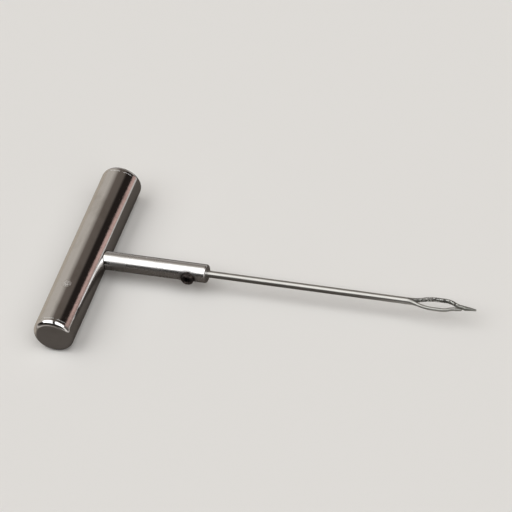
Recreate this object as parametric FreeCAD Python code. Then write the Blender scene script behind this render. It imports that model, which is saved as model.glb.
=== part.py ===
"""Tyre plug insertion tool: a chromed T-handle with a replaceable split-eye needle.

Units are millimetres. The origin is where the axis of the handle bar crosses the axis of the
needle. +X runs along the needle towards its point, +Y along the handle bar and +Z is up, so the
eye of the needle lies flat in the XY plane, the plane of the T.
"""

import math
import os

from FreeCAD import Vector
import Part

X_AXIS = Vector(1, 0, 0)
Y_AXIS = Vector(0, 1, 0)
Z_AXIS = Vector(0, 0, 1)
OVERCUT = 1.0

# Handle bar: a steel tube closed by a turned plug at each end
BAR_RADIUS = 19.05 / 2
BAR_LENGTH = 101.6
TUBE_WALL = 2.0
TUBE_BORE_RADIUS = BAR_RADIUS - TUBE_WALL
PLUG_FLANGE = 3.2
PLUG_SPIGOT_LENGTH = 9.0
PLUG_EDGE_RADIUS = 2.2
SPIGOT_CHAMFER = 0.8
TUBE_LENGTH = BAR_LENGTH - 2 * PLUG_FLANGE

# Needle holder: a round shank through the front wall of the tube, seated on its back wall
HOLDER_RADIUS = 8.6 / 2
HOLDER_END_X = 58.4
HOLDER_EDGE = 0.8

# Needle: a round rod that is clamped in the holder's blind bore
NEEDLE_RADIUS = 3.2 / 2
NEEDLE_TIP_X = 187.0
INSERTED_LENGTH = 23.0
RUNNING_GAP = 0.05
NEEDLE_END_CHAMFER = 0.3
NEEDLE_START_X = HOLDER_END_X - INSERTED_LENGTH
FLAT_DEPTH = 0.8
FLAT_LENGTH = 19.5
FLAT_Y = -(NEEDLE_RADIUS - FLAT_DEPTH)

# Set screw: M6 x 5 socket screw with a cup point, across the holder from the -Y side
SCREW_FROM_END = 8.3
SCREW_X = HOLDER_END_X - SCREW_FROM_END
SCREW_RADIUS = 2.97
SCREW_LENGTH = 5.0
THREAD_PITCH = 1.0
THREAD_DEPTH = 0.5
THREAD_CREST = 0.2
CUP_RADIUS = 1.5
CUP_DEPTH = 0.5
SCREW_EDGE = 0.35
SOCKET_ACROSS_FLATS = 3.0
SOCKET_DEPTH = 2.6
SOCKET_CORNER_RADIUS = SOCKET_ACROSS_FLATS / math.sqrt(3)
SOCKET_LEAD_RADIUS = SOCKET_CORNER_RADIUS + 0.1
SOCKET_LEAD_DEPTH = 0.33
TAPPED_RADIUS = SCREW_RADIUS + RUNNING_GAP
TAPPED_MOUTH_CHAMFER = 0.6

# Split eye: two thinner legs that bow apart, run level and close in again behind the point.
# A crown is where a leg runs level: its first X, its last X and its distance from the axis.
SPLIT_X = 155.0
CROTCH_X = 158.6
CROTCH_RADIUS = 0.3
NEAR_LEG_RADIUS = 0.82
FAR_LEG_RADIUS = 0.93
NEAR_CROWN = (167.2, 171.0, 2.8)
FAR_CROWN = (168.0, 171.5, 3.0)
NEAR_END = (177.6, 1.25)
FAR_END = (181.6, 0.25)
NEAR_TIP_X = 180.0
NEAR_TIP_RADIUS = 0.5
LEG_ROOT_X = 154.2
LEG_ROOT_COVER = 0.05
POINT_BASE_X = 181.8
POINT_BASE_RADIUS = 1.05
POINT_BELLY = 0.06
POINT_NOSE_RADIUS = 0.3


def cylinder(radius, start, length, direction):
    return Part.makeCylinder(radius, length, start, direction)


def revolved(outline, axis_point, axis):
    """Solid of revolution from a list of edges that close with the axis."""
    return Part.Face(Part.Wire(outline)).revolve(axis_point, axis, 360)


def polygon_edges(points):
    """Straight edges through the points, in order and not closed."""
    return [Part.makeLine(a, b) for a, b in zip(points, points[1:])]


def arc_through(start, middle, end):
    return Part.Arc(start, middle, end).toShape()


def rounded_corner(centre, radius, start_angle, end_angle):
    """Quarter or shorter arc in the XY plane about a centre, angles in degrees."""
    def at(angle):
        turn = math.radians(angle)
        return centre + Vector(math.cos(turn), math.sin(turn), 0) * radius
    return arc_through(at(start_angle), at((start_angle + end_angle) / 2), at(end_angle))


def make_handle_tube():
    start = Vector(0, -TUBE_LENGTH / 2, 0)
    outside = cylinder(BAR_RADIUS, start, TUBE_LENGTH, Y_AXIS)
    inside = cylinder(TUBE_BORE_RADIUS, start, TUBE_LENGTH, Y_AXIS)
    shank_hole = cylinder(HOLDER_RADIUS, Vector(0, 0, 0), BAR_RADIUS + OVERCUT, X_AXIS)
    return outside.cut(inside).cut(shank_hole)


def make_end_plug(side):
    """Turned plug: a flange flush with the tube, rounded outside, and a spigot in its bore."""
    face_y = BAR_LENGTH / 2
    seat_y = face_y - PLUG_FLANGE
    spigot_y = seat_y - PLUG_SPIGOT_LENGTH
    edge_centre = Vector(BAR_RADIUS - PLUG_EDGE_RADIUS, face_y - PLUG_EDGE_RADIUS, 0)
    edge = rounded_corner(edge_centre, PLUG_EDGE_RADIUS, 90, 0)
    across_face = Part.makeLine(Vector(0, face_y, 0), edge_centre + Y_AXIS * PLUG_EDGE_RADIUS)
    inwards = polygon_edges([
        edge_centre + X_AXIS * PLUG_EDGE_RADIUS,
        Vector(BAR_RADIUS, seat_y, 0),
        Vector(TUBE_BORE_RADIUS, seat_y, 0),
        Vector(TUBE_BORE_RADIUS, spigot_y + SPIGOT_CHAMFER, 0),
        Vector(TUBE_BORE_RADIUS - SPIGOT_CHAMFER, spigot_y, 0),
        Vector(0, spigot_y, 0),
        Vector(0, face_y, 0),
    ])
    plug = revolved([across_face, edge] + inwards, Vector(0, 0, 0), Y_AXIS)
    if side < 0:
        plug.rotate(Vector(0, 0, 0), Z_AXIS, 180)
    return plug


def screw_recess():
    """The tapped hole's envelope: a cylinder with a conical floor that opens into the bore."""
    mouth_y = -HOLDER_RADIUS
    tip_y = FLAT_Y + 2 * RUNNING_GAP
    floor_radius = CUP_RADIUS + RUNNING_GAP
    cone_height = TAPPED_RADIUS - floor_radius
    outline = polygon_edges([
        Vector(0, mouth_y - OVERCUT, 0),
        Vector(TAPPED_RADIUS, mouth_y - OVERCUT, 0),
        Vector(TAPPED_RADIUS, tip_y - cone_height, 0),
        Vector(floor_radius, tip_y, 0),
        Vector(0, tip_y, 0),
        Vector(0, mouth_y - OVERCUT, 0),
    ])
    recess = revolved(outline, Vector(0, 0, 0), Y_AXIS)
    recess.translate(Vector(SCREW_X, 0, 0))
    return recess


def mouth_chamfer():
    """Countersink where the tapped hole leaves the round shank."""
    height = TAPPED_MOUTH_CHAMFER + OVERCUT
    start = Vector(SCREW_X, -HOLDER_RADIUS - OVERCUT, 0)
    return Part.makeCone(TAPPED_RADIUS + height, TAPPED_RADIUS, height, start, Y_AXIS)


def make_needle_holder():
    """Round shank, rounded at its front and coped at its root to fit inside the tube."""
    rod = cylinder(HOLDER_RADIUS, Vector(-BAR_RADIUS, 0, 0), BAR_RADIUS + HOLDER_END_X, X_AXIS)
    front = [edge for edge in rod.Edges if edge.CenterOfMass.x > HOLDER_END_X - HOLDER_EDGE]
    rod = rod.makeFillet(HOLDER_EDGE, front)
    behind_corner = Vector(-BAR_RADIUS, -BAR_LENGTH / 2, -BAR_LENGTH / 2)
    behind = Part.makeBox(BAR_RADIUS, BAR_LENGTH, BAR_LENGTH, behind_corner)
    inside_tube = cylinder(TUBE_BORE_RADIUS, Vector(0, -BAR_LENGTH / 2, 0), BAR_LENGTH, Y_AXIS)
    rod = rod.cut(behind.cut(inside_tube))
    bore_start = Vector(NEEDLE_START_X - RUNNING_GAP, 0, 0)
    bore_length = INSERTED_LENGTH + RUNNING_GAP + OVERCUT
    bore = cylinder(NEEDLE_RADIUS + RUNNING_GAP, bore_start, bore_length, X_AXIS)
    return rod.cut(bore).cut(screw_recess()).cut(mouth_chamfer())


def hex_prism(corner_radius, start, length):
    """Hexagonal prism along +Y from a start point, with two of its corners in line with X."""
    corners = []
    for index in range(7):
        turn = math.radians(60 * index)
        corners.append(start + Vector(math.cos(turn), 0, math.sin(turn)) * corner_radius)
    face = Part.Face(Part.makePolygon(corners))
    return face.extrude(Y_AXIS * length)


def thread_outline(head_y, cone_y):
    """Profile of the threaded stretch: V grooves at the pitch between two plain lands."""
    root = SCREW_RADIUS - THREAD_DEPTH
    half_groove = (THREAD_PITCH - THREAD_CREST) / 2
    points = [
        Vector(SCREW_RADIUS - SCREW_EDGE, head_y, 0),
        Vector(SCREW_RADIUS, head_y + SCREW_EDGE, 0),
    ]
    groove_y = head_y + SCREW_EDGE + half_groove + THREAD_CREST / 2
    while groove_y + half_groove < cone_y:
        points += [
            Vector(SCREW_RADIUS, groove_y - half_groove, 0),
            Vector(root, groove_y, 0),
            Vector(SCREW_RADIUS, groove_y + half_groove, 0),
        ]
        groove_y += THREAD_PITCH
    points.append(Vector(SCREW_RADIUS, cone_y, 0))
    return points


def make_set_screw():
    """Cup-point socket screw, made about the Y axis and then moved to its hole."""
    tip_y = FLAT_Y
    head_y = tip_y - SCREW_LENGTH
    cone_y = tip_y - (SCREW_RADIUS - CUP_RADIUS)
    head = Vector(0, head_y, 0)
    cup = [Vector(CUP_RADIUS, tip_y, 0), Vector(0, tip_y - CUP_DEPTH, 0), head]
    points = [head] + thread_outline(head_y, cone_y) + cup
    screw = revolved(polygon_edges(points), Vector(0, 0, 0), Y_AXIS)
    socket = hex_prism(SOCKET_CORNER_RADIUS, head, SOCKET_DEPTH)
    lead_in = Part.makeCone(
        SOCKET_LEAD_RADIUS, SOCKET_ACROSS_FLATS / 2, SOCKET_LEAD_DEPTH, head, Y_AXIS
    )
    screw = screw.cut(socket).cut(lead_in)
    screw.translate(Vector(SCREW_X, 0, 0))
    return screw


def bend(start, heading, turn, turn_radius, radius):
    """Round rod bent along one arc in the XY plane; angles in radians, left turns positive."""
    side = math.copysign(1, turn)
    forward = Vector(math.cos(heading), math.sin(heading), 0)
    centre = start + Vector(-forward.y, forward.x, 0) * (side * turn_radius)
    section = Part.Face(Part.Wire(Part.Circle(start, forward, radius).toShape()))
    return section.revolve(centre, Z_AXIS * side, math.degrees(abs(turn)))


def s_bend(start, end, radius):
    """Two equal and opposite bends between points where the rod runs along +X."""
    step_x = (end.x - start.x) / 2
    step_y = (end.y - start.y) / 2
    turn = 2 * math.atan2(step_y, step_x)
    turn_radius = step_x / math.sin(abs(turn))
    middle = start + Vector(step_x, step_y, 0)
    first = bend(start, 0, turn, turn_radius, radius)
    second = bend(middle, turn, -turn, turn_radius, radius)
    return [first, second]


def bowed_leg(side, radius, crown, end):
    """One round leg of the eye, from the split out to its crown and in again to a round end."""
    crown_start_x, crown_end_x, crown_y = crown
    start = Vector(LEG_ROOT_X, side * (NEEDLE_RADIUS - LEG_ROOT_COVER - radius), 0)
    crown_start = Vector(crown_start_x, side * crown_y, 0)
    crown_end = Vector(crown_end_x, side * crown_y, 0)
    end_point = Vector(end[0], side * end[1], 0)
    level = cylinder(radius, crown_start, crown_end_x - crown_start_x, X_AXIS)
    bends = s_bend(start, crown_start, radius) + s_bend(crown_end, end_point, radius)
    round_end = Part.makeSphere(radius, end_point)
    return level.fuse(bends + [round_end])


def make_free_tip():
    """Tapered, round-nosed end of the near leg beside the other leg."""
    start = Vector(NEAR_END[0], -NEAR_END[1], 0)
    nose = Vector(NEAR_TIP_X, -NEAR_END[1], 0)
    taper_length = NEAR_TIP_X - NEAR_END[0]
    taper = Part.makeCone(NEAR_LEG_RADIUS, NEAR_TIP_RADIUS, taper_length, start, X_AXIS)
    return taper.fuse(Part.makeSphere(NEAR_TIP_RADIUS, nose))


def make_shaft():
    """Round rod with a flat for the screw at its inner end and a rounded nose at the split."""
    nose_centre = Vector(CROTCH_X - CROTCH_RADIUS, 0, 0)
    outline = polygon_edges([
        Vector(NEEDLE_START_X, 0, 0),
        Vector(NEEDLE_START_X, NEEDLE_RADIUS - NEEDLE_END_CHAMFER, 0),
        Vector(NEEDLE_START_X + NEEDLE_END_CHAMFER, NEEDLE_RADIUS, 0),
        Vector(SPLIT_X, NEEDLE_RADIUS, 0),
        nose_centre + Y_AXIS * CROTCH_RADIUS,
    ])
    nose = rounded_corner(nose_centre, CROTCH_RADIUS, 90, 0)
    back = Part.makeLine(Vector(CROTCH_X, 0, 0), Vector(NEEDLE_START_X, 0, 0))
    shaft = revolved(outline + [nose, back], Vector(0, 0, 0), X_AXIS)
    flat_corner = Vector(NEEDLE_START_X, FLAT_Y - NEEDLE_RADIUS, -NEEDLE_RADIUS)
    flat = Part.makeBox(FLAT_LENGTH, NEEDLE_RADIUS, 2 * NEEDLE_RADIUS, flat_corner)
    return shaft.cut(flat)


def make_point():
    """Solid point beyond the eye: a rounded shoulder, then a slightly bellied taper."""
    base = Vector(POINT_BASE_X, POINT_BASE_RADIUS, 0)
    nose_centre = Vector(NEEDLE_TIP_X - POINT_NOSE_RADIUS, 0, 0)
    taper_end = nose_centre + Y_AXIS * POINT_NOSE_RADIUS
    belly = (base + taper_end) * 0.5 + Y_AXIS * POINT_BELLY
    shoulder = rounded_corner(Vector(POINT_BASE_X, 0, 0), POINT_BASE_RADIUS, 180, 90)
    nose = rounded_corner(nose_centre, POINT_NOSE_RADIUS, 90, 0)
    back = Part.makeLine(Vector(NEEDLE_TIP_X, 0, 0), Vector(POINT_BASE_X - POINT_BASE_RADIUS, 0, 0))
    outline = [shoulder, arc_through(base, belly, taper_end), nose, back]
    return revolved(outline, Vector(0, 0, 0), X_AXIS)


def make_insertion_needle():
    """The far leg carries the point; the near leg ends free, just short of it."""
    near_leg = bowed_leg(-1, NEAR_LEG_RADIUS, NEAR_CROWN, NEAR_END)
    far_leg = bowed_leg(1, FAR_LEG_RADIUS, FAR_CROWN, FAR_END)
    return make_shaft().fuse([near_leg, make_free_tip(), far_leg, make_point()]).removeSplitter()


def main():
    nodes = {
        "handle_tube": make_handle_tube(),
        "end_plug_near": make_end_plug(-1),
        "end_plug_far": make_end_plug(1),
        "needle_holder": make_needle_holder(),
        "set_screw": make_set_screw(),
        "insertion_needle": make_insertion_needle(),
    }
    os.makedirs("parts", exist_ok=True)
    for name, shape in nodes.items():
        print(name, len(shape.Solids), shape.isValid(), round(shape.Volume, 1), shape.BoundBox)
        shape.exportStep(f"parts/{name}.step")


main()
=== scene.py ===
"""Looks of the tyre plug insertion tool: chromed T-handle, black set screw and split-eye needle.

Shapes are worked out in millimetres in the part's own frame and turned into metres when a mesh is made.
"""

import math

import bpy
import numpy as np
from mathutils import Matrix, Vector

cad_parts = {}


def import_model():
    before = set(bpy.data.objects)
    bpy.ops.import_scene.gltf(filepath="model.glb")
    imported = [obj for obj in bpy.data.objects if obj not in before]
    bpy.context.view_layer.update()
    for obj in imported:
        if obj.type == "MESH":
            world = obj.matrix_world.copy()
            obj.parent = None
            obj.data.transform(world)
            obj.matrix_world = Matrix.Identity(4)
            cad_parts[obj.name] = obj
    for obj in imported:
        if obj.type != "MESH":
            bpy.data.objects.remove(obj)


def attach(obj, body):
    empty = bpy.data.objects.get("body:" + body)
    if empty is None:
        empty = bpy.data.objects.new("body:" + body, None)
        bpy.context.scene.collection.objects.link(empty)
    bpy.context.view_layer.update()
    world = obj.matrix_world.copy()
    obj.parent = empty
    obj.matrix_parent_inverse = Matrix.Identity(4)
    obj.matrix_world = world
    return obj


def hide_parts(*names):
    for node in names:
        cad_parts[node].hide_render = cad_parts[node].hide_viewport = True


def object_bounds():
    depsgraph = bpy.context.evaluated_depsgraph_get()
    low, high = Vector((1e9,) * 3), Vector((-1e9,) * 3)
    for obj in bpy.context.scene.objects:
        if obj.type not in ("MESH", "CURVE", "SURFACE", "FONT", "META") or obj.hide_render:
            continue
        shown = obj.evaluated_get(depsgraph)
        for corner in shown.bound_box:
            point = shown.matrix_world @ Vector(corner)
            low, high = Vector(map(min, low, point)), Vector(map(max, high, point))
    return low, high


MM = 0.001

# Handle bar
BAR_RADIUS = 9.525
BAR_HALF_LENGTH = 50.8
TUBE_HALF_LENGTH = 47.6
TUBE_BORE_RADIUS = 7.525
PLUG_SPIGOT_Y = 38.6
PLUG_SPIGOT_CHAMFER = 0.8
PLUG_EDGE_RADIUS = 2.2
PLUG_SPIGOT_EDGE = 0.1
SEAM_EDGE = 0.07

# Needle holder
HOLDER_RADIUS = 4.3
HOLDER_START_X = -6.1
HOLDER_END_X = 58.4
HOLDER_EDGE = 0.8
HOLDER_ROOT_EDGE = 0.3
BORE_END_EDGE = 0.3
BORE_RADIUS = 1.65
BORE_START_X = 35.35
BORE_MOUTH_EDGE = 0.15
FILLET_AT_BAR = 0.3
FILLET_OVERLAP = 0.01
FILLET_SINK = 0.003

# Set screw, in its hole on the -Y side of the holder
SCREW_X = 50.1
SCREW_HEAD_Y = -5.8
SCREW_TIP_Y = -0.8
SCREW_RADIUS = 2.97
SCREW_EDGE = 0.35
SCREW_CUP_RADIUS = 1.5
SCREW_CUP_DEPTH = 0.5
THREAD_PITCH = 1.0
THREAD_DEPTH = 0.5
SOCKET_CORNER_RADIUS = 3.0 / math.sqrt(3)
SOCKET_DEPTH = 2.6
SOCKET_CONE_DEPTH = 0.4
LEAD_IN_DEPTH = 0.33
LEAD_IN_RADIUS = 1.48
TAPPED_RADIUS = 3.02
TAPPED_MOUTH_CHAMFER = 0.6
TAPPED_CUTTER_REACH = 3.0

# Needle
NEEDLE_RADIUS = 1.6
NEEDLE_START_X = 35.4
NEEDLE_END_CHAMFER = 0.3
NEEDLE_TIP_X = 187.0
FLAT_Y = -0.8
FLAT_END_X = 54.9
FLAT_STEP = 0.01
ROD_STATION_STEP = 1.5
FIRST_ROD_STATION_X = 36.0
# The rod's second run of stations starts short of FLAT_END_X, so the mesh folds over itself there
SECOND_ROD_RUN_X = 54.0
SPLIT_X = 153.5
LEG_ROOT_X = 154.2
CROTCH_X = 158.6
NEAR_LEG_RADIUS = 0.82
FAR_LEG_RADIUS = 0.93
FAR_LEG_HEIGHT = 1.2
LEG_ROOT_COVER = 0.05
LEG_STATION_STEP = 0.14
LEG_NOSE_LENGTH = 1.2
NEAR_CROWN = (167.2, 171.0, 2.8)
FAR_CROWN = (168.0, 171.5, 3.0)
NEAR_END = (177.6, 1.25)
FAR_END = (181.6, 0.25)
NEAR_TIP_X = 180.0
NEAR_TIP_RADIUS = 0.5
POINT_BASE_X = 181.8
POINT_BASE_RADIUS = 1.05
POINT_BELLY = 0.06
POINT_NOSE_RADIUS = 0.3
SERRATION_PITCH = 1.15
SERRATION_DEPTH = 0.06
SERRATION_END_X = 176.0
SERRATION_FADE = 3.0

BAR_SEGMENTS = 256
HOLDER_SEGMENTS = 192
NEEDLE_SEGMENTS = 64
SCREW_SEGMENTS = 120
SCREW_STATIONS = 76

# Camera, looking at the middle of the object
CAMERA_AZIMUTH = 25.8
CAMERA_ELEVATION = 45.1
CAMERA_ROLL = 11.3
CAMERA_DISTANCE = 2.77
CAMERA_LENS = 428.0
CAMERA_ASIDE = -6.5
CAMERA_ALOFT = 12.0

# Marks on the plating, and painted shade around the screw hole
SCUFF_PLACE = (0.0, -25.7, BAR_RADIUS)
SCUFF_RADIUS = 3.2
# Painted shade: the shank is darkened around the screw hole, where the screw's shadow and reflection fall
SCREW_SHADE_PLACE = (SCREW_X, -HOLDER_RADIUS, 0.0)
SCREW_SHADE_RADIUS = 5.6
SHANK_FADE = 2.0

# Floor and backdrop, as the camera sees them
FLOOR_SIZE = 6.0
PALE_FLOOR = (0.80, 0.795, 0.785, 1)
PALE_BACKDROP = (0.80, 0.79, 0.78, 1)

# What the plating mirrors instead: a dark table with lighter zones, and a banded surround
DARK_TABLE = (0.10, 0.088, 0.078, 1)
LEFT_ZONE = (0.48, 0.43, 0.37, 1)
RIGHT_ZONE = (0.60, 0.58, 0.56, 1)
FRONT_ZONE = (0.50, 0.47, 0.44, 1)
LOW_STREAK = (0.11, 0.095, 0.08, 1)
LOW_WALL = (0.40, 0.375, 0.35, 1)
OVERHEAD_BOXES = (2.0, 1.98, 1.94, 1)

# The surround's colours by bearing in degrees: 0 is towards +Y and 90 is towards +X
SURROUND = [
    (-180, (0.014, 0.011, 0.009)),
    (-102, (0.020, 0.016, 0.014)),
    (-88, (0.48, 0.43, 0.37)),
    (-40, (0.48, 0.44, 0.39)),
    (-16, (0.13, 0.107, 0.09)),
    (22, (0.12, 0.10, 0.085)),
    (33, (0.018, 0.014, 0.012)),
    (48.2, (0.018, 0.014, 0.012)),
    (50, (0.74, 0.50, 0.44)),
    (52.5, (0.13, 0.105, 0.095)),
    (75, (0.22, 0.19, 0.165)),
    (105, (0.020, 0.016, 0.014)),
    (118, (0.90, 0.85, 0.80)),
    (134, (0.90, 0.85, 0.80)),
    (144, (0.014, 0.011, 0.009)),
    (180, (0.014, 0.011, 0.009)),
]


# ---------------------------------------------------------------- turned shapes

def rounded_outline(corners, radii, steps=8):
    """Outline through 2-D corners, each rounded by its radius.

    Each row holds the distance along, the distance out, and the same two of the normal.
    """
    rows = []
    count = len(corners)
    for index in range(count):
        here = np.array(corners[index], float)
        if index in (0, count - 1):
            other = np.array(corners[1 if index == 0 else count - 2], float)
            direction = (other - here) if index == 0 else (here - other)
            direction /= np.linalg.norm(direction)
            rows.append([*here, -direction[1], direction[0]])
            continue
        before = here - np.array(corners[index - 1], float)
        after = np.array(corners[index + 1], float) - here
        before /= np.linalg.norm(before)
        after /= np.linalg.norm(after)
        turn = math.atan2(before[0] * after[1] - before[1] * after[0], before @ after)
        radius = radii[index]
        trim = radius * math.tan(abs(turn) / 2)
        side = math.copysign(1, turn)
        start = here - before * trim
        centre = start + side * radius * np.array([-before[1], before[0]])
        for step in range(steps + 1):
            part = turn * step / steps
            cos, sin = math.cos(part), math.sin(part)
            normal = np.array([-before[1], before[0]])
            normal = np.array([cos * normal[0] - sin * normal[1], sin * normal[0] + cos * normal[1]])
            rows.append([*(centre - side * radius * normal), *normal])
    return np.array(rows)


class Turned:
    """A shape turned about a line: its outline, where its axis is, and how to mesh and shade it."""

    def __init__(self, outline, origin, axis, out):
        self.outline = outline
        self.origin = np.array(origin, float)
        self.axis = np.array(axis, float)
        self.out = np.array(out, float)
        self.third = np.cross(self.axis, self.out)

    def ring(self, row, segments):
        along, radius = row[0], row[1]
        turns = np.linspace(0, 2 * math.pi, segments, endpoint=False)
        spokes = np.outer(np.cos(turns), self.out) + np.outer(np.sin(turns), self.third)
        return self.origin + self.axis * along + spokes * radius

    def mesh(self, segments):
        """Vertices and faces; rows on the axis become single points."""
        vertices, rings = [], []
        for row in self.outline:
            ring = self.ring(row, segments)
            if row[1] < 1e-6:
                rings.append([len(vertices)] * segments)
                vertices.append(ring[0])
            else:
                rings.append(list(range(len(vertices), len(vertices) + segments)))
                vertices.extend(ring)
        faces = []
        for first, second in zip(rings, rings[1:]):
            for k in range(segments):
                n = (k + 1) % segments
                corners = [first[k], first[n], second[n], second[k]]
                faces.append(list(dict.fromkeys(corners)))
        return np.array(vertices), faces

    def nearest(self, points):
        """How far each point is from the turned surface, and the surface's normal there."""
        offset = points - self.origin
        along = offset @ self.axis
        spoke = offset - np.outer(along, self.axis)
        radius = np.linalg.norm(spoke, axis=1)
        best = np.full(len(points), np.inf)
        normal2 = np.zeros((len(points), 2))
        flat = np.stack([along, radius], axis=1)
        for a, b in zip(self.outline, self.outline[1:]):
            edge = b[:2] - a[:2]
            share = np.clip(((flat - a[:2]) @ edge) / max(edge @ edge, 1e-12), 0, 1)
            gap = np.linalg.norm(flat - (a[:2] + np.outer(share, edge)), axis=1)
            better = gap < best
            best[better] = gap[better]
            mixed = a[2:] + np.outer(share, b[2:] - a[2:])
            normal2[better] = mixed[better]
        spoke /= np.maximum(radius, 1e-9)[:, None]
        normal = np.outer(normal2[:, 0], self.axis) + spoke * normal2[:, 1:2]
        return best, normal

    def object(self, name, segments):
        vertices, faces = self.mesh(segments)
        return new_object(name, vertices, faces)


# ---------------------------------------------------------------- mesh helpers

def new_object(name, vertices, faces):
    """Smooth-shaded object from vertices in millimetres."""
    mesh = bpy.data.meshes.new(name)
    mesh.from_pydata((np.asarray(vertices, float) * MM).tolist(), [], faces)
    mesh.polygons.foreach_set("use_smooth", [True] * len(mesh.polygons))
    mesh.update()
    made = bpy.data.objects.new(name, mesh)
    bpy.context.scene.collection.objects.link(made)
    return made


def cut_away(target, cutter):
    """Takes the cutter's solid out of the target and removes the cutter."""
    modifier = target.modifiers.new("cut", "BOOLEAN")
    modifier.operation = "DIFFERENCE"
    modifier.solver = "EXACT"
    modifier.object = cutter
    bpy.context.view_layer.update()
    evaluated = target.evaluated_get(bpy.context.evaluated_depsgraph_get())
    mesh = bpy.data.meshes.new_from_object(evaluated)
    target.modifiers.clear()
    target.data = mesh
    bpy.data.objects.remove(cutter)
    mesh.polygons.foreach_set("use_smooth", [True] * len(mesh.polygons))


def shade_from(made, shapes):
    """Exact normals: each face takes those of the turned shape it lies on; cutters face inwards."""
    mesh = made.data
    points = np.zeros(len(mesh.vertices) * 3)
    mesh.vertices.foreach_get("co", points)
    points = points.reshape(-1, 3) / MM
    gaps, normals = [], []
    for shape, sign in shapes:
        gap, normal = shape.nearest(points)
        gaps.append(gap)
        normals.append(normal * sign)
    loop_vertex = np.zeros(len(mesh.loops), int)
    mesh.loops.foreach_get("vertex_index", loop_vertex)
    starts = np.zeros(len(mesh.polygons), int)
    mesh.polygons.foreach_get("loop_start", starts)
    gap_sums = np.stack([np.add.reduceat(gap[loop_vertex], starts) for gap in gaps])
    choice = gap_sums.argmin(0)
    totals = np.zeros(len(mesh.polygons), int)
    mesh.polygons.foreach_get("loop_total", totals)
    loop_choice = np.repeat(choice, totals)
    picked = np.stack(normals)[loop_choice, loop_vertex]
    mesh.normals_split_custom_set(picked.tolist())


def sharpen(made, degrees):
    """Edges that turn by more than the angle stay sharp."""
    made.data.set_sharp_from_angle(angle=math.radians(degrees))


def finish_piece(made, body, material, slot_name, *nodes):
    made.data.materials.clear()
    made.data.materials.append(material)
    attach(made, body)
    if nodes:
        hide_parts(*nodes)


def smooth_step(value):
    value = np.clip(value, 0, 1)
    return value * value * (3 - 2 * value)


def skin_rings(rings):
    """Faces round and along a list of equal rings, closed by a fan at each end."""
    count = len(rings[0])
    vertices = [point for ring in rings for point in ring]
    faces = []
    for row in range(len(rings) - 1):
        for k in range(count):
            n = (k + 1) % count
            base, above = row * count, (row + 1) * count
            faces.append([base + k, above + k, above + n, base + n])
    last = (len(rings) - 1) * count
    faces.append(list(range(count)))
    faces.append([last + count - 1 - k for k in range(count)])
    return vertices, faces


# ---------------------------------------------------------------- pieces

def tube_shape():
    corners = [
        (0, TUBE_BORE_RADIUS), (-TUBE_HALF_LENGTH, TUBE_BORE_RADIUS),
        (-TUBE_HALF_LENGTH, BAR_RADIUS), (TUBE_HALF_LENGTH, BAR_RADIUS),
        (TUBE_HALF_LENGTH, TUBE_BORE_RADIUS), (0, TUBE_BORE_RADIUS),
    ]
    radii = [0, SEAM_EDGE, SEAM_EDGE, SEAM_EDGE, SEAM_EDGE, 0]
    return Turned(rounded_outline(corners, radii, 4), (0, 0, 0), (0, 1, 0), (1, 0, 0))


def make_tube():
    shape = tube_shape()
    tube = shape.object("bar_tube", BAR_SEGMENTS)
    corners = [(0, 0), (0, HOLDER_RADIUS), (BAR_RADIUS + 1, HOLDER_RADIUS), (BAR_RADIUS + 1, 0)]
    hole = Turned(rounded_outline(corners, [0, SEAM_EDGE, SEAM_EDGE, 0]), (0, 0, 0), (1, 0, 0), (0, 1, 0))
    cut_away(tube, hole.object("hole", HOLDER_SEGMENTS))
    shade_from(tube, [(shape, 1), (hole, -1)])
    return tube


def make_plug(name, side):
    corners = [
        (PLUG_SPIGOT_Y, 0),
        (PLUG_SPIGOT_Y, TUBE_BORE_RADIUS - PLUG_SPIGOT_CHAMFER),
        (PLUG_SPIGOT_Y + PLUG_SPIGOT_CHAMFER, TUBE_BORE_RADIUS),
        (TUBE_HALF_LENGTH, TUBE_BORE_RADIUS),
        (TUBE_HALF_LENGTH, BAR_RADIUS),
        (BAR_HALF_LENGTH, BAR_RADIUS),
        (BAR_HALF_LENGTH, 0),
    ]
    radii = [0, PLUG_SPIGOT_EDGE, PLUG_SPIGOT_EDGE, SEAM_EDGE, SEAM_EDGE, PLUG_EDGE_RADIUS, 0]
    shape = Turned(rounded_outline(corners, radii, 16), (0, 0, 0), (0, side, 0), (1, 0, 0))
    plug = shape.object(name, BAR_SEGMENTS)
    shade_from(plug, [(shape, 1)])
    return plug


def holder_shape():
    corners = [
        (HOLDER_START_X, 0), (HOLDER_START_X, HOLDER_RADIUS),
        (HOLDER_END_X, HOLDER_RADIUS), (HOLDER_END_X, BORE_RADIUS),
        (BORE_START_X, BORE_RADIUS), (BORE_START_X, 0),
    ]
    radii = [0, HOLDER_ROOT_EDGE, HOLDER_EDGE, BORE_MOUTH_EDGE, BORE_END_EDGE, 0]
    return Turned(rounded_outline(corners, radii, 12), (0, 0, 0), (1, 0, 0), (0, 1, 0))


def screw_hole_shape():
    """Tapped hole with its countersink, as the solid that is cut away."""
    countersink_y = -HOLDER_RADIUS + TAPPED_MOUTH_CHAMFER
    floor_y = SCREW_TIP_Y + 0.1
    floor_radius = SCREW_CUP_RADIUS + 0.05
    corners = [
        (countersink_y - TAPPED_CUTTER_REACH, 0),
        (countersink_y - TAPPED_CUTTER_REACH, TAPPED_RADIUS + TAPPED_CUTTER_REACH),
        (countersink_y, TAPPED_RADIUS),
        (floor_y - (TAPPED_RADIUS - floor_radius), TAPPED_RADIUS),
        (floor_y, floor_radius),
        (floor_y, 0),
    ]
    radii = [0, 0.05, 0.12, 0.05, 0.05, 0]
    return Turned(rounded_outline(corners, radii, 6), (SCREW_X, 0, 0), (0, 1, 0), (1, 0, 0))


def make_holder():
    shape = holder_shape()
    holder = shape.object("holder_shank", HOLDER_SEGMENTS)
    hole = screw_hole_shape()
    cut_away(holder, hole.object("hole", HOLDER_SEGMENTS))
    shade_from(holder, [(shape, 1), (hole, -1)])
    return holder


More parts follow.
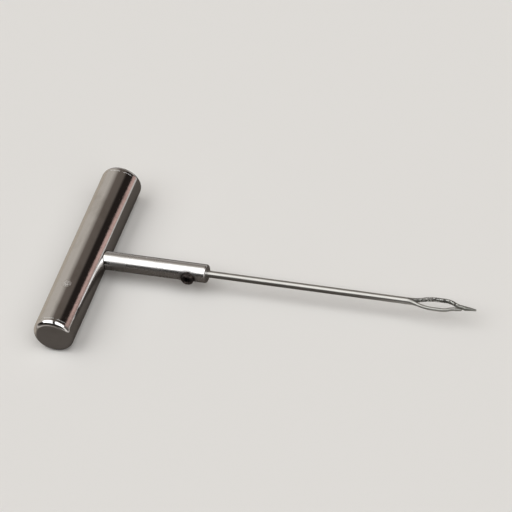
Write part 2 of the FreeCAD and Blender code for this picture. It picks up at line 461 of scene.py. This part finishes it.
def make_fillet():
    """Thin concave bead of plating where the shank leaves the bar."""
    steps = 6
    turns = np.linspace(0, 2 * math.pi, HOLDER_SEGMENTS, endpoint=False)
    rings, normals = [], []
    for step in range(steps + 1):
        angle = step / steps * math.pi / 2
        out = FILLET_AT_BAR * (1 - math.cos(angle))
        radius = HOLDER_RADIUS - FILLET_OVERLAP + out
        y = radius * np.cos(turns)
        z = radius * np.sin(turns)
        bar_surface = np.sqrt(BAR_RADIUS ** 2 - z ** 2)
        x = bar_surface + FILLET_AT_BAR * (1 - math.sin(angle)) - FILLET_SINK
        rings.append(np.stack([x, y, z], axis=1))
        spoke = np.stack([0 * turns, np.cos(turns), np.sin(turns)], axis=1)
        bar_normal = np.stack([bar_surface, 0 * turns, z], axis=1) / BAR_RADIUS
        mixed = spoke * math.cos(angle) + bar_normal * math.sin(angle)
        normals.append(mixed / np.linalg.norm(mixed, axis=1)[:, None])
    vertices = np.concatenate(rings)
    faces = []
    for row in range(steps):
        for k in range(HOLDER_SEGMENTS):
            n = (k + 1) % HOLDER_SEGMENTS
            base, above = row * HOLDER_SEGMENTS, (row + 1) * HOLDER_SEGMENTS
            faces.append([base + k, base + n, above + n, above + k])
    bead = new_object("holder_bead", vertices, faces)
    bead.data.normals_split_custom_set_from_vertices(np.concatenate(normals).tolist())
    return bead


def thread_radius(y, turns):
    """Radius of the screw at a height: chamfered head, right-hand thread and cone point."""
    cone_y = SCREW_TIP_Y - (SCREW_RADIUS - SCREW_CUP_RADIUS)
    head_chamfer = SCREW_RADIUS - SCREW_EDGE + (y - SCREW_HEAD_Y)
    cone = SCREW_RADIUS - (y - cone_y)
    envelope = min(SCREW_RADIUS, head_chamfer, cone)
    phase = (y / THREAD_PITCH - turns / (2 * math.pi)) % 1
    groove = np.clip(1 - np.abs(phase - 0.5) / 0.4, 0, 1)
    fade = smooth_step((y - SCREW_HEAD_Y - SCREW_EDGE * 0.6) / 0.4)
    return np.minimum(envelope, SCREW_RADIUS - THREAD_DEPTH * groove * fade)


def screw_ring(radius, y, turns):
    """Ring about the screw's axis at one height; its radius may change on the way round."""
    x = SCREW_X + radius * np.cos(turns)
    z = -radius * np.sin(turns)
    return np.stack([x, 0 * turns + y, z], axis=1)


def make_screw():
    turns = np.linspace(0, 2 * math.pi, SCREW_SEGMENTS, endpoint=False)
    heights = np.linspace(SCREW_HEAD_Y, SCREW_TIP_Y, SCREW_STATIONS)
    rings = [screw_ring(thread_radius(y, turns), y, turns) for y in heights]
    for share in (0.75, 0.5, 0.25):
        y = SCREW_TIP_Y - SCREW_CUP_DEPTH * (1 - share)
        rings.append(screw_ring(SCREW_CUP_RADIUS * share, y, turns))
    vertices, faces = skin_rings(rings)
    screw = new_object("socket_screw", vertices, [face[::-1] for face in faces])
    cut_away(screw, socket_cutter())
    cut_away(screw, lead_in_cutter())
    sharpen(screw, 35)
    return screw


def socket_cutter():
    """Hexagonal prism that starts in front of the head and ends in a shallow cone."""
    turns = np.radians(np.arange(6) * 60)
    front_y = SCREW_HEAD_Y - 1
    bottom_y = SCREW_HEAD_Y + SOCKET_DEPTH
    rings = [
        screw_ring(SOCKET_CORNER_RADIUS, front_y, turns),
        screw_ring(SOCKET_CORNER_RADIUS, bottom_y - SOCKET_CONE_DEPTH, turns),
        screw_ring(SOCKET_CORNER_RADIUS * 0.2, bottom_y, turns),
    ]
    vertices, faces = skin_rings(rings)
    return new_object("socket", vertices, [face[::-1] for face in faces])


def lead_in_cutter():
    """Cone that leads the key into the socket."""
    front_y = SCREW_HEAD_Y - 0.5
    bottom_y = SCREW_HEAD_Y + LEAD_IN_DEPTH
    corners = [
        (front_y, 0), (front_y, SOCKET_CORNER_RADIUS + 0.6),
        (bottom_y, LEAD_IN_RADIUS), (bottom_y, 0),
    ]
    cone = Turned(rounded_outline(corners, [0, 0.02, 0.02, 0], 2), (SCREW_X, 0, 0), (0, 1, 0), (1, 0, 0))
    return cone.object("lead_in", 96)


# ---------------------------------------------------------------- needle

def s_curve(x, start, end):
    """Height and slope of two equal tangent arcs from start to end, level at both ends."""
    step_x, step_y = (end[0] - start[0]) / 2, (end[1] - start[1]) / 2
    turn = 2 * math.atan2(step_y, step_x)
    radius = abs(step_x / math.sin(turn))
    side = math.copysign(1, step_y)
    if x <= start[0] + step_x:
        run = x - start[0]
        return start[1] + side * (radius - math.sqrt(radius ** 2 - run ** 2)), side * run / radius
    run = end[0] - x
    return end[1] - side * (radius - math.sqrt(radius ** 2 - run ** 2)), side * run / radius


def leg_line(x, leg_radius, crown, end):
    """Height and slope of a leg's centre line: rooted in the rod, bowed out, level, closing in."""
    root = (LEG_ROOT_X, NEEDLE_RADIUS - LEG_ROOT_COVER - leg_radius)
    crown_start_x, crown_end_x, crown_y = crown
    if x <= root[0]:
        return root[1], 0.0
    if x <= crown_start_x:
        return s_curve(x, root, (crown_start_x, crown_y))
    if x <= crown_end_x:
        return crown_y, 0.0
    if x <= end[0]:
        return s_curve(x, (crown_end_x, crown_y), end)
    return end[1], 0.0


def point_radius(x):
    """Radius of the solid point: round shoulder, slightly bellied taper, small round nose."""
    taper_end = NEEDLE_TIP_X - POINT_NOSE_RADIUS
    if x <= POINT_BASE_X - POINT_BASE_RADIUS:
        return 0.0
    if x < POINT_BASE_X:
        return math.sqrt(max(0.0, POINT_BASE_RADIUS ** 2 - (x - POINT_BASE_X) ** 2))
    if x < taper_end:
        share = (x - POINT_BASE_X) / (taper_end - POINT_BASE_X)
        straight = POINT_BASE_RADIUS + (POINT_NOSE_RADIUS - POINT_BASE_RADIUS) * share
        return straight + 4 * POINT_BELLY * share * (1 - share)
    return math.sqrt(max(0.0, POINT_NOSE_RADIUS ** 2 - (x - taper_end) ** 2))


def free_tip_radius(x):
    """Radius of the near leg's free tip: a taper with a round nose."""
    if x > NEAR_TIP_X:
        return math.sqrt(max(0.0, NEAR_TIP_RADIUS ** 2 - (x - NEAR_TIP_X) ** 2))
    share = (x - NEAR_END[0]) / (NEAR_TIP_X - NEAR_END[0])
    return NEAR_LEG_RADIUS + (NEAR_TIP_RADIUS - NEAR_LEG_RADIUS) * share


def leg_slice(x, turns, side, leg_radius, crown, end, carries_point):
    """One slice of a leg square to X: a half round at the split that turns into a round wire."""
    centre, slope = leg_line(x, leg_radius, crown, end)
    width = leg_radius * math.sqrt(1 + slope ** 2)
    height = leg_radius
    if carries_point:
        height *= 1 + (FAR_LEG_HEIGHT - 1) * smooth_step((x - CROTCH_X) / 4)
    if x > end[0] and not carries_point:
        width = height = free_tip_radius(x)
    inner, outer = centre - width, centre + width
    parting = smooth_step((x - CROTCH_X + 1.2) / 1.4)
    inner *= parting
    height += (NEEDLE_RADIUS - leg_radius) * (1 - smooth_step((x - SPLIT_X - 1) / 6))
    if x < CROTCH_X:
        outer = max(outer, NEEDLE_RADIUS)
    roundness = smooth_step((x - SPLIT_X - 1) / 7)
    if carries_point:
        point = point_radius(x)
        share = smooth_step((x - POINT_BASE_X + 1.0) / 2.2)
        outer = outer * (1 - share) + point * share
        inner = min(inner, -point) if x > POINT_BASE_X - POINT_BASE_RADIUS else inner
        rise = smooth_step((x - POINT_BASE_X + 1.2) / 1.2)
        height = height * (1 - rise) + max(point, 0.02) * rise
    wave = serration(x, turns) if carries_point else 0.0
    across = np.cos(turns)
    half_round = np.where(across > 0, inner + (outer - inner) * across, inner)
    ellipse = (outer + inner) / 2 + (outer - inner) / 2 * across * (1 + wave)
    y = half_round * (1 - roundness) + ellipse * roundness
    z = height * np.sin(turns) * (1 + wave)
    return np.stack([0 * turns + x, side * y, z], axis=1)


def serration(x, turns):
    """Fine slanting teeth on the leg that carries the point."""
    rise = smooth_step((x - CROTCH_X) / SERRATION_FADE)
    fall = 1 - smooth_step((x - SERRATION_END_X) / SERRATION_FADE)
    strength = rise * fall
    phase = x / SERRATION_PITCH + 0.35 * np.sin(turns) + 0.15 * math.sin(x * 1.7)
    return -SERRATION_DEPTH * strength * (0.5 + 0.5 * np.sin(2 * math.pi * phase))


def make_leg(side, leg_radius, crown, end, last_x, carries_point):
    turns = np.linspace(-math.pi / 2, 1.5 * math.pi, NEEDLE_SEGMENTS, endpoint=False)
    first = np.arange(SPLIT_X, last_x - LEG_NOSE_LENGTH, LEG_STATION_STEP)
    last = last_x - LEG_NOSE_LENGTH * (1 - np.sin(np.linspace(0, math.pi / 2, 24)))
    rings = []
    for x in np.concatenate([first, last]):
        rings.append(leg_slice(x, turns, side, leg_radius, crown, end, carries_point))
    vertices, faces = skin_rings(rings)
    if side > 0:
        faces = [face[::-1] for face in faces]
    return vertices, faces


def make_shaft():
    """Round rod to the split, with the flat that the screw clamps on."""
    turns = np.linspace(-math.pi / 2, 1.5 * math.pi, NEEDLE_SEGMENTS, endpoint=False)
    stations = [NEEDLE_START_X, NEEDLE_START_X + NEEDLE_END_CHAMFER]
    stations += list(np.arange(FIRST_ROD_STATION_X, FLAT_END_X, ROD_STATION_STEP))
    stations += [FLAT_END_X - FLAT_STEP, FLAT_END_X + FLAT_STEP]
    stations += list(np.arange(SECOND_ROD_RUN_X, SPLIT_X, ROD_STATION_STEP)) + [SPLIT_X]
    rings = []
    for x in stations:
        radius = NEEDLE_RADIUS - (NEEDLE_END_CHAMFER if x == NEEDLE_START_X else 0)
        y = radius * np.cos(turns)
        z = radius * np.sin(turns)
        if x < FLAT_END_X:
            y = np.maximum(y, FLAT_Y)
        rings.append(np.stack([0 * turns + x, y, z], axis=1))
    vertices, faces = skin_rings(rings)
    return vertices, [face[::-1] for face in faces]


def make_needle():
    parts = [
        make_shaft(),
        make_leg(-1, NEAR_LEG_RADIUS, NEAR_CROWN, NEAR_END, NEAR_TIP_X + NEAR_TIP_RADIUS, False),
        make_leg(1, FAR_LEG_RADIUS, FAR_CROWN, FAR_END, NEEDLE_TIP_X, True),
    ]
    vertices, faces = [], []
    for part_vertices, part_faces in parts:
        start = len(vertices)
        vertices.extend(part_vertices)
        faces.extend([[start + index for index in face] for face in part_faces])
    needle = new_object("split_needle", vertices, faces)
    sharpen(needle, 50)
    return needle


# ---------------------------------------------------------------- materials

class Nodes:
    """Short calls to build a node tree."""

    def __init__(self, tree):
        self.tree = tree
        tree.nodes.clear()

    def add(self, kind, inputs=None, **settings):
        made = self.tree.nodes.new(kind)
        for key, value in settings.items():
            setattr(made, key, value)
        for key, value in (inputs or {}).items():
            self.put(made.inputs[key], value)
        return made

    def put(self, socket, value):
        if isinstance(value, bpy.types.NodeSocket):
            self.tree.links.new(value, socket)
        else:
            socket.default_value = value

    def math(self, operation, first, second=0.0, third=0.0):
        return self.add("ShaderNodeMath", {0: first, 1: second, 2: third}, operation=operation).outputs[0]

    def remap(self, value, low, high, new_low=0.0, new_high=1.0):
        """Smooth change from new_low to new_high as the value goes from low to high."""
        inputs = {"Value": value, "From Min": low, "From Max": high, "To Min": new_low, "To Max": new_high}
        return self.add("ShaderNodeMapRange", inputs, interpolation_type="SMOOTHSTEP").outputs["Result"]

    def mix(self, share, first, second):
        made = self.add("ShaderNodeMix", data_type="RGBA")
        self.put(made.inputs[0], share)
        self.put(made.inputs[6], first)
        self.put(made.inputs[7], second)
        return made.outputs[2]

    def place(self, scale):
        """Object coordinates in millimetres, stretched by a scale along each axis."""
        where = self.add("ShaderNodeTexCoord").outputs["Object"]
        size = [s / MM for s in scale]
        return self.add("ShaderNodeMapping", {"Vector": where, "Scale": size}).outputs["Vector"]

    def axes(self, vector):
        """The X, Y and Z of a vector."""
        outputs = self.add("ShaderNodeSeparateXYZ", {0: vector}).outputs
        return outputs["X"], outputs["Y"], outputs["Z"]

    def noise(self, scale, detail=3.0, roughness=0.5):
        inputs = {"Vector": self.place(scale), "Scale": 1.0, "Detail": detail, "Roughness": roughness}
        return self.add("ShaderNodeTexNoise", inputs).outputs["Fac"]

    def band(self, value, low, high, feather):
        """1 between low and high, fading to 0 over the feather on either side of both."""
        rise = self.remap(value, low - feather, low + feather)
        fall = self.remap(value, high - feather, high + feather, 1.0, 0.0)
        return self.math("MULTIPLY", rise, fall)


def new_material(name):
    material = bpy.data.materials.new(name)
    material.use_nodes = True
    return material, Nodes(material.node_tree)


def shader_output(nodes, inputs, normal=None):
    shader = nodes.add("ShaderNodeBsdfPrincipled", inputs)
    if normal is not None:
        nodes.put(shader.inputs["Normal"], normal)
    output = nodes.add("ShaderNodeOutputMaterial")
    nodes.put(output.inputs["Surface"], shader.outputs[0])


def near_point(nodes, point, radius):
    """1 close to a point on the object, fading to 0 at the radius; all in millimetres."""
    where = nodes.place((1, 1, 1))
    offset = nodes.add("ShaderNodeVectorMath", {0: where, 1: point}, operation="DISTANCE")
    return nodes.remap(offset.outputs["Value"], radius * 0.3, radius, 1.0, 0.0)


def chrome_material():
    """Bright plate: faint orange peel, hairline scratches, dull smudges, a scuff, and painted shade around
    the screw hole that stands for the screw's shadow and reflection.

    The shank is duller and smoother than the bar, with fainter scratches.
    """
    material, nodes = new_material("chrome_plate")
    smudge = nodes.remap(nodes.noise((0.09, 0.06, 0.09), 4, 0.6), 0.45, 0.75)
    specks = nodes.remap(nodes.noise((1.4, 1.4, 1.4), 2), 0.66, 0.76)
    lengthwise = nodes.remap(nodes.noise((5.0, 0.12, 5.0), 2), 0.62, 0.74)
    crosswise = nodes.remap(nodes.noise((0.5, 7.0, 0.7), 2), 0.66, 0.78)
    scuff = near_point(nodes, SCUFF_PLACE, SCUFF_RADIUS)
    scuff_marks = nodes.remap(nodes.noise((1.2, 2.2, 1.2), 4, 0.7), 0.44, 0.54)
    scuff = nodes.math("MULTIPLY", scuff, scuff_marks)
    # Painted shade around the screw hole, standing for the screw's shadow and reflection in the shank:
    # darker tint and rougher plate
    screw_shade = near_point(nodes, SCREW_SHADE_PLACE, SCREW_SHADE_RADIUS)
    screw_shade = nodes.math("MULTIPLY", screw_shade, nodes.remap(nodes.noise((1.3, 1.3, 1.3), 3), 0.25, 0.5))
    along = nodes.axes(nodes.place((1, 1, 1)))[0]
    shank = nodes.remap(along, BAR_RADIUS, BAR_RADIUS + SHANK_FADE)
    lines = nodes.math("MAXIMUM", lengthwise, crosswise)
    lines = nodes.math("MULTIPLY", lines, nodes.math("MULTIPLY_ADD", shank, -0.8, 1.0))
    rough = nodes.math("MULTIPLY_ADD", shank, 0.2, 0.035)
    rough = nodes.math("MULTIPLY_ADD", smudge, 0.07, rough)
    rough = nodes.math("MULTIPLY_ADD", specks, 0.05, rough)
    rough = nodes.math("MULTIPLY_ADD", lines, 0.04, rough)
    rough = nodes.math("MULTIPLY_ADD", scuff, 0.42, rough)
    tint = nodes.mix(smudge, (0.80, 0.80, 0.81, 1), (0.70, 0.695, 0.69, 1))
    tint = nodes.mix(nodes.math("MULTIPLY", scuff, 0.5), tint, (0.85, 0.84, 0.82, 1))
    # Painted shade: near-black tint around the screw hole
    tint = nodes.mix(nodes.math("MULTIPLY", screw_shade, 0.95), tint, (0.05, 0.042, 0.038, 1))
    rough = nodes.math("MULTIPLY_ADD", screw_shade, 0.2, rough)
    peel = nodes.noise((0.55, 0.55, 0.55), 2)
    peel_depth = nodes.math("MULTIPLY_ADD", shank, -0.038, 0.05)
    height = nodes.math("MULTIPLY_ADD", lines, -0.02, nodes.math("MULTIPLY", peel, peel_depth))
    height = nodes.math("MULTIPLY_ADD", scuff, -0.12, height)
    bump = nodes.add("ShaderNodeBump", {"Strength": 0.35, "Distance": 0.0004, "Height": height})
    shader_output(nodes, {"Metallic": 1.0, "Base Color": tint, "Roughness": rough}, bump.outputs[0])
    return material


def black_oxide_material():
    """Blackened steel with a trace of oil, worn brown-grey in patches."""
    material, nodes = new_material("black_oxide_steel")
    grain = nodes.noise((3.0, 3.0, 3.0), 4, 0.6)
    worn = nodes.remap(nodes.noise((1.1, 1.1, 1.1), 4, 0.65), 0.45, 0.7)
    base = nodes.mix(worn, (0.026, 0.023, 0.022, 1), (0.15, 0.115, 0.105, 1))
    rough = nodes.math("MULTIPLY_ADD", grain, 0.3, 0.22)
    bump = nodes.add("ShaderNodeBump", {"Strength": 0.4, "Distance": 0.00006, "Height": grain})
    shader_output(nodes, {"Metallic": 0.75, "Base Color": base, "Roughness": rough}, bump.outputs[0])
    return material


def needle_material():
    """Drawn rod: satin with lengthwise lines, darker and rougher where the eye was forged and hardened."""
    material, nodes = new_material("needle_steel")
    along, across, _ = nodes.axes(nodes.place((1, 1, 1)))
    drawn = nodes.noise((0.05, 6.0, 6.0), 3, 0.6)
    mottle = nodes.noise((0.55, 0.9, 0.9), 3, 0.6)
    grain = nodes.noise((1.3, 1.6, 1.6), 2, 0.6)
    forged = nodes.remap(along, 150.0, 164.0)
    far_leg = nodes.math("MULTIPLY", forged, nodes.remap(across, -0.4, 0.8))
    point = nodes.remap(along, 179.0, 181.5)
    dark = nodes.math("MULTIPLY", nodes.remap(mottle, 0.42, 0.52), far_leg)
    glint = nodes.math("MULTIPLY", nodes.remap(grain, 0.52, 0.60), far_leg)
    base = nodes.mix(drawn, (0.58, 0.575, 0.555, 1), (0.42, 0.415, 0.40, 1))
    base = nodes.mix(nodes.math("MULTIPLY", forged, 0.6), base, (0.34, 0.345, 0.325, 1))
    base = nodes.mix(nodes.math("MULTIPLY", far_leg, 0.75), base, (0.20, 0.19, 0.18, 1))
    base = nodes.mix(nodes.math("MULTIPLY", dark, 0.8), base, (0.03, 0.028, 0.026, 1))
    base = nodes.mix(nodes.math("MULTIPLY", glint, 0.75), base, (0.72, 0.74, 0.71, 1))
    base = nodes.mix(nodes.math("MULTIPLY", point, 0.7), base, (0.20, 0.205, 0.185, 1))
    rough = nodes.math("MULTIPLY_ADD", drawn, 0.14, 0.24)
    rough = nodes.math("MULTIPLY_ADD", forged, 0.04, rough)
    rough = nodes.math("MULTIPLY_ADD", dark, 0.12, rough)
    height = nodes.math("MULTIPLY_ADD", nodes.math("MULTIPLY", grain, far_leg), 3.0, drawn)
    bump = nodes.add("ShaderNodeBump", {"Strength": 0.5, "Distance": 0.00004, "Height": height})
    shader_output(nodes, {"Metallic": 1.0, "Base Color": base, "Roughness": rough}, bump.outputs[0])
    return material


def floor_material():
    """Plain pale paper to the camera; the plating mirrors it as a dark table with three lighter zones."""
    material, nodes = new_material("studio_floor")
    path = nodes.add("ShaderNodeLightPath").outputs["Is Glossy Ray"]
    where = nodes.place((1, 1, 1))
    x, y, _ = nodes.axes(where)
    beyond = nodes.math("MULTIPLY_ADD", x, 1.6, y)
    depth = nodes.math("MULTIPLY", nodes.remap(y, -72.0, -56.0), nodes.remap(beyond, 20.0, 60.0, 1.0, 0.0))
    left = nodes.math("MULTIPLY", nodes.remap(x, -24.0, -12.0, 1.0, 0.0), depth)
    reach = nodes.add("ShaderNodeVectorMath", {0: where}, operation="LENGTH").outputs["Value"]
    right = nodes.math("MULTIPLY", nodes.remap(x, 0.0, 40.0), nodes.remap(reach, 120.0, 170.0))
    front = nodes.math("MULTIPLY", nodes.band(y, -92.0, -68.0, 4.0), nodes.remap(x, -14.0, 4.0, 1.0, 0.0))
    mirrored = nodes.mix(left, DARK_TABLE, LEFT_ZONE)
    mirrored = nodes.mix(right, mirrored, RIGHT_ZONE)
    mirrored = nodes.mix(front, mirrored, FRONT_ZONE)
    colour = nodes.mix(path, PALE_FLOOR, mirrored)
    shader_output(nodes, {"Base Color": colour, "Roughness": 0.9, "Specular IOR Level": 0.1})
    return material


# ---------------------------------------------------------------- studio

def colour_ramp(nodes, value, stops):
    ramp = nodes.add("ShaderNodeValToRGB", {"Fac": value})
    elements = ramp.color_ramp.elements
    while len(elements) < len(stops):
        elements.new(0.5)
    for element, (position, colour) in zip(elements, stops):
        element.position = position
        element.color = (*colour, 1)
    return ramp.outputs["Color"]


def make_world():
    """Pale backdrop to the camera; light and reflections come from two overhead boxes and the surround."""
    world = bpy.data.worlds.new("studio")
    bpy.context.scene.world = world
    world.use_nodes = True
    nodes = Nodes(world.node_tree)
    x, y, z = nodes.axes(nodes.add("ShaderNodeTexCoord").outputs["Generated"])
    bearing = nodes.math("ARCTAN2", x, y)
    turn_share = nodes.math("MULTIPLY_ADD", bearing, 0.5 / math.pi, 0.5)
    walls = colour_ramp(nodes, turn_share, [(degrees / 360 + 0.5, colour) for degrees, colour in SURROUND])
    height = nodes.math("MAXIMUM", z, 0.02)
    plan_x = nodes.math("DIVIDE", x, height)
    plan_y = nodes.math("DIVIDE", y, height)
    front = nodes.remap(plan_y, -1.55, -0.85)
    behind = nodes.remap(plan_y, 0.0, 0.58, 1.0, 0.0)
    depth = nodes.math("MULTIPLY", front, behind)
    left = nodes.math("MULTIPLY", nodes.band(plan_x, -1.7, -0.12, 0.04), depth)
    right = nodes.math("MULTIPLY", nodes.band(plan_x, 0.14, 1.5, 0.04), depth)
    above = nodes.math("MULTIPLY", nodes.math("ADD", left, right), nodes.remap(z, 0.0, 0.1))
    streak = nodes.math("MULTIPLY", nodes.band(z, 0.09, 0.17, 0.04), nodes.remap(y, -0.95, -0.8, 1.0, 0.0))
    walls = nodes.mix(streak, walls, LOW_STREAK)
    low_behind = nodes.math("MULTIPLY", nodes.remap(y, 0.72, 0.85), nodes.remap(z, 0.3, 0.45, 1.0, 0.0))
    walls = nodes.mix(low_behind, walls, LOW_WALL)
    seen = nodes.mix(above, walls, OVERHEAD_BOXES)
    camera = nodes.add("ShaderNodeLightPath").outputs["Is Camera Ray"]
    shown = nodes.mix(camera, seen, PALE_BACKDROP)
    background = nodes.add("ShaderNodeBackground", {"Color": shown, "Strength": 1.0})
    output = nodes.add("ShaderNodeOutputWorld")
    nodes.put(output.inputs["Surface"], background.outputs[0])


def make_floor():
    bpy.ops.mesh.primitive_plane_add(size=FLOOR_SIZE, location=(0, 0, -BAR_RADIUS * MM))
    floor = bpy.context.object
    floor.name = "studio_floor"
    floor.data.materials.append(floor_material())


def make_camera(box):
    low, high = box
    middle = (low + high) / 2
    azimuth, elevation = math.radians(CAMERA_AZIMUTH), math.radians(CAMERA_ELEVATION)
    roll = math.radians(CAMERA_ROLL)
    level = math.cos(elevation)
    back = Vector((math.sin(azimuth) * level, -math.cos(azimuth) * level, math.sin(elevation)))
    flat_right = Vector((math.cos(azimuth), math.sin(azimuth), 0))
    up = back.cross(flat_right) * math.cos(roll) + flat_right * math.sin(roll)
    right = up.cross(back)
    camera = bpy.data.objects.new("camera", bpy.data.cameras.new("camera"))
    bpy.context.scene.collection.objects.link(camera)
    turn = Matrix((right, up, back)).transposed().to_4x4()
    aim = middle + (right * CAMERA_ASIDE + up * CAMERA_ALOFT) * MM
    camera.matrix_world = Matrix.Translation(aim + back * CAMERA_DISTANCE) @ turn
    camera.data.lens = CAMERA_LENS
    camera.data.clip_start = 0.1
    camera.data.clip_end = 20
    bpy.context.scene.camera = camera


def main():
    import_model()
    cad_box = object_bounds()
    chrome = chrome_material()
    black = black_oxide_material()
    steel = needle_material()
    finish_piece(make_tube(), "handle", chrome, "chrome_plate", "handle_tube")
    finish_piece(make_plug("bar_end_near", -1), "handle", chrome, "chrome_plate", "end_plug_near")
    finish_piece(make_plug("bar_end_far", 1), "handle", chrome, "chrome_plate", "end_plug_far")
    finish_piece(make_holder(), "handle", chrome, "chrome_plate", "needle_holder")
    finish_piece(make_fillet(), "handle", chrome, "chrome_plate")
    finish_piece(make_screw(), "screw", black, "black_oxide_steel", "set_screw")
    finish_piece(make_needle(), "needle", steel, "needle_steel", "insertion_needle")
    make_world()
    make_floor()
    make_camera(cad_box)
    bpy.context.scene.view_settings.view_transform = "Standard"


main()
